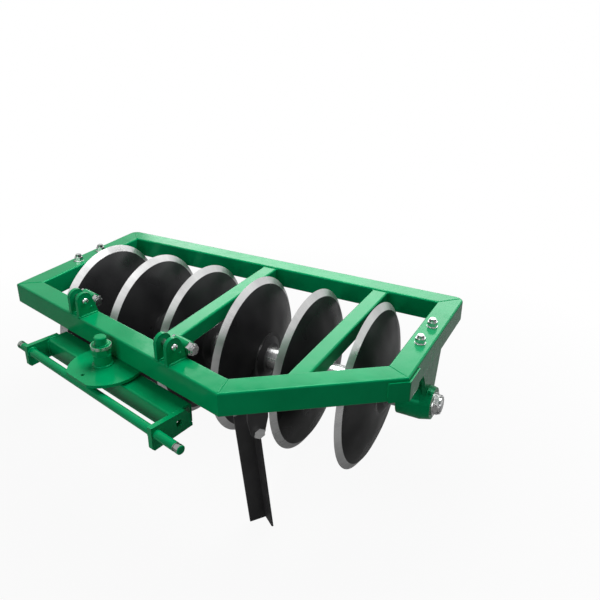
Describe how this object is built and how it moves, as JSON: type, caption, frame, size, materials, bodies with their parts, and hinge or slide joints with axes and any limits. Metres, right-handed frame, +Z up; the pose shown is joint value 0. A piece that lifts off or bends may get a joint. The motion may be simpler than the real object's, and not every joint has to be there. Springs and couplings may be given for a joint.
{
  "type": "disc harrow",
  "caption": "Disc harrow gang section: dished discs on one axle under a box-section frame, with a swivel hitch and a folding parking stand.",
  "frame": {"origin": "centre of the bounding box in plan, on the ground under the discs", "axes": "X along the gang axle, Y to the rear of the machine, Z up"},
  "size_m": [1.6388, 1.1066, 0.646],
  "materials": {
    "green_enamel": "gloss enamel",
    "blade_black": "semi-gloss black",
    "dark_paint": "satin dark grey",
    "bright_steel": "zinc plated"
  },
  "bodies": {
    "frame": {"angled_rail": "green_enamel", "bearing_bolts_left": "bright_steel", "bearing_bolts_right": "bright_steel", "bearing_housing_left": "green_enamel", "bearing_housing_right": "green_enamel", "corner_plate": "green_enamel", "cross_member_1": "green_enamel", "cross_member_2": "green_enamel", "front_rail": "green_enamel", "kingpin_boss": "green_enamel", "left_rail": "green_enamel", "link_pin_left": "bright_steel", "link_pin_right": "bright_steel", "link_sleeve_left": "green_enamel", "link_sleeve_right": "green_enamel", "lug_left": "green_enamel", "lug_pin_left": "bright_steel", "lug_pin_right": "bright_steel", "lug_right": "green_enamel", "rear_rail": "green_enamel", "right_rail": "green_enamel", "stand_bolt": "bright_steel", "stand_bracket": "dark_paint", "stand_spacer": "bright_steel", "turntable_plate": "green_enamel"},
    "gang": {"disc_1": "blade_black", "disc_2": "blade_black", "disc_3": "blade_black", "disc_4": "blade_black", "disc_5": "blade_black", "disc_6": "blade_black", "end_sleeve_left": "bright_steel", "end_sleeve_right": "bright_steel", "gang_shaft": "bright_steel", "hub_flange_1": "dark_paint", "hub_flange_2": "dark_paint", "hub_flange_3": "dark_paint", "hub_flange_4": "dark_paint", "hub_flange_5": "dark_paint", "hub_flange_6": "dark_paint", "shaft_nut_left": "bright_steel", "shaft_nut_right": "bright_steel", "shaft_washer_left": "bright_steel", "shaft_washer_right": "bright_steel", "spool_1": "bright_steel", "spool_2": "bright_steel", "spool_3": "bright_steel", "spool_4": "bright_steel", "spool_5": "bright_steel"},
    "hitch": {"hitch_channel": "green_enamel", "hitch_side_left": "green_enamel", "hitch_side_right": "green_enamel", "kingpin": "green_enamel", "kingpin_nut": "green_enamel", "lower_turntable_plate": "green_enamel", "pivot_bar": "green_enamel"},
    "stand": {"stand_leg": "dark_paint"}
  },
  "joints": [
    {"name": "gang_spin", "type": "hinge", "parent": "frame", "child": "gang", "pos_m": [0, 0.21335, 0.305], "axis": [1, 0, 0], "continuous": true},
    {"name": "hitch_swivel", "type": "hinge", "parent": "frame", "child": "hitch", "pos_m": [-0.169, -0.34083, 0.481], "axis": [0, 0, 1], "range_deg": [-10, 10]},
    {"name": "stand_fold", "type": "hinge", "parent": "frame", "child": "stand", "pos_m": [0.3517, -0.28205, 0.405], "axis": [-0.809, 0.5878, 0], "range_deg": [0, 80]}
  ]
}
